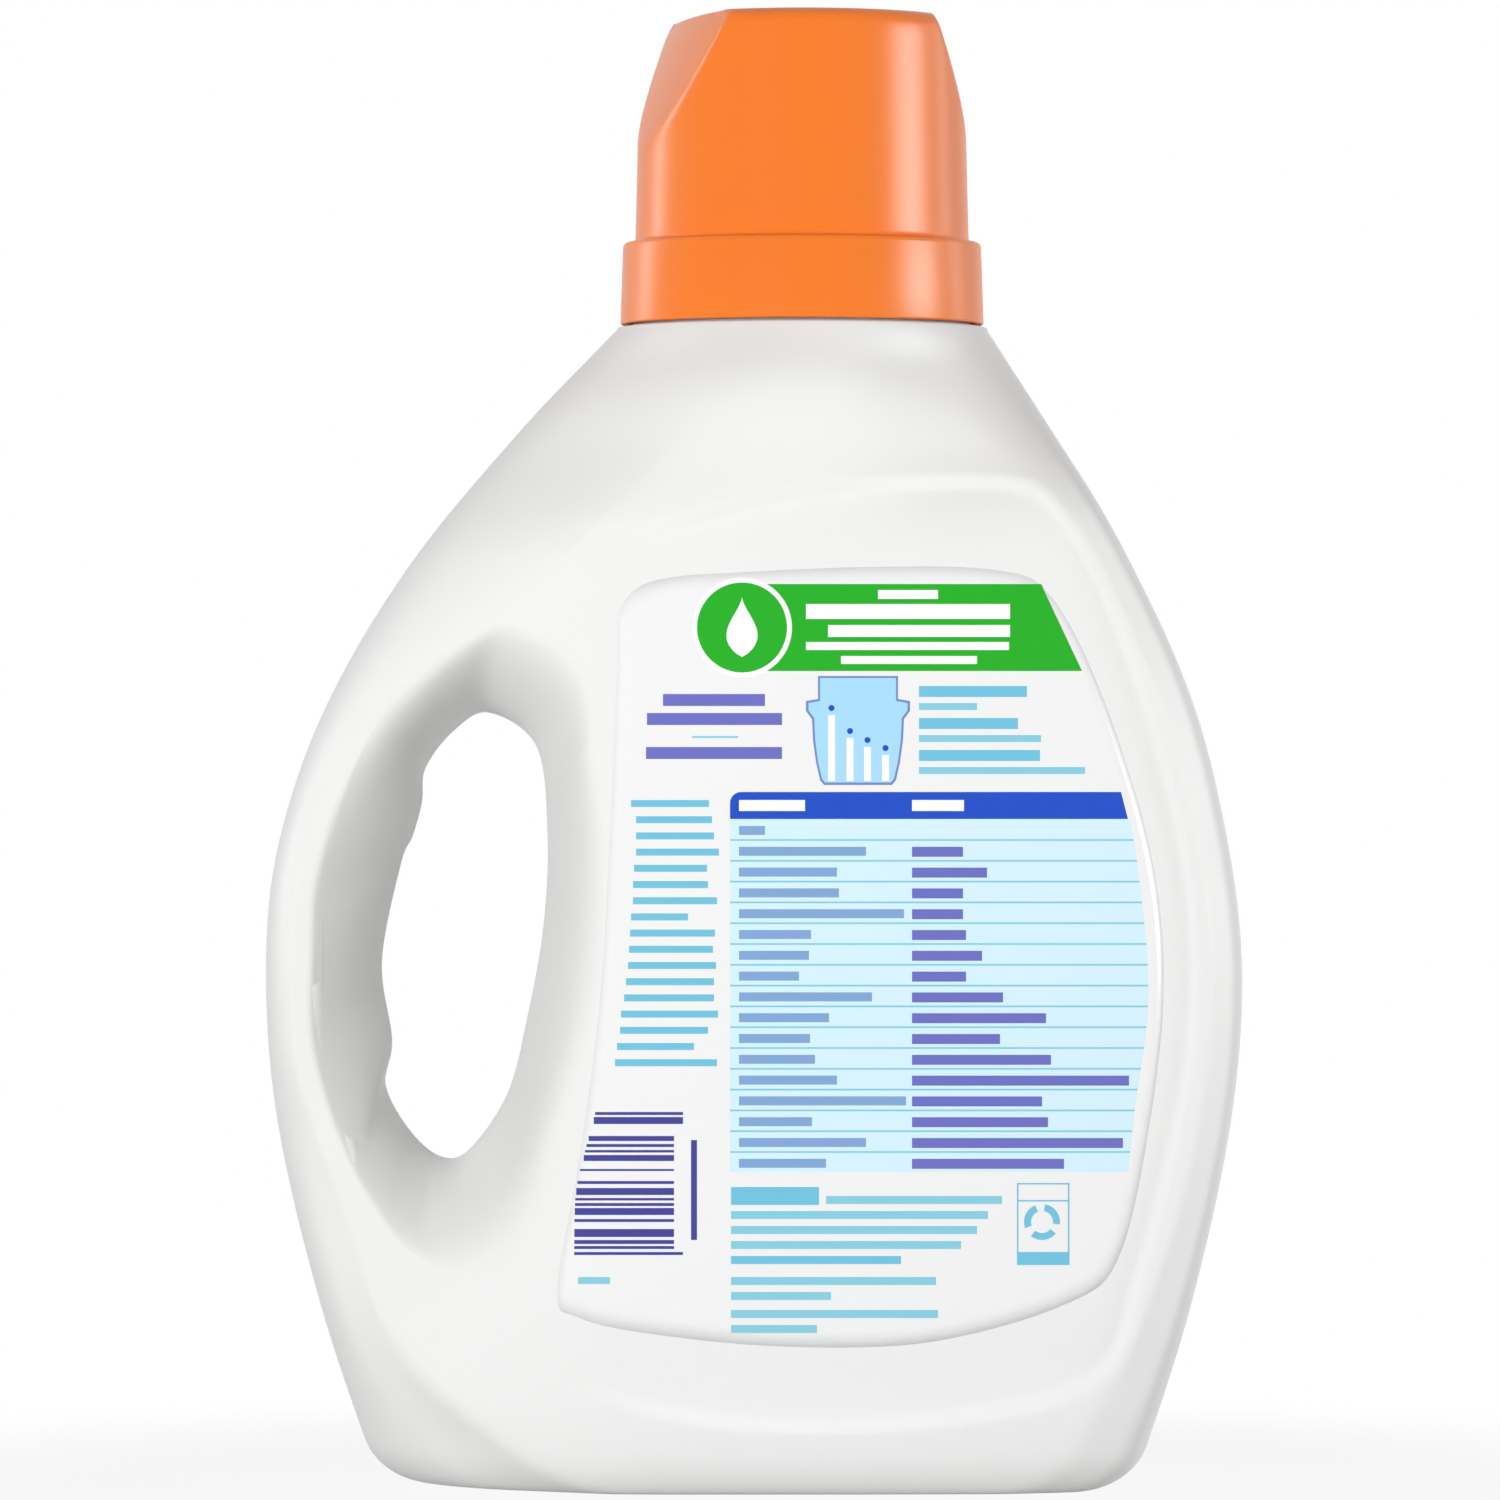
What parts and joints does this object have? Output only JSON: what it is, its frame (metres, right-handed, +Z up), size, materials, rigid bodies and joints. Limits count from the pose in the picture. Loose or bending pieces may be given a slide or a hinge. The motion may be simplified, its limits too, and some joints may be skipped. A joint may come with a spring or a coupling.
{
  "type": "laundry detergent bottle",
  "caption": "Blow-moulded bottle with a through-handle, a drain-back pouring spout, a dosing cap that lifts off and a film label on its back.",
  "frame": {"origin": "on the standing plane, under the middle of the bottle's width and depth; the neck's axis is at x = +9.8 mm", "axes": "+Z up, -Y towards the labelled back that the picture shows, the handle on the -X side"},
  "size_m": [0.1892, 0.1072, 0.2848],
  "materials": {
    "hdpe_white": "satin blow-moulded",
    "label_film": "printed film",
    "pe_natural": "satin moulded",
    "pp_orange": "satin moulded"
  },
  "bodies": {
    "bottle": {"bottle": "hdpe_white", "back_label": "label_film", "pour_spout": "pe_natural"},
    "cap": {"cap": "pp_orange"}
  },
  "joints": [
    {"name": "cap_lift", "type": "slide", "parent": "bottle", "child": "cap", "axis": [0, 0, 1], "range_m": [0, 0.06]}
  ]
}
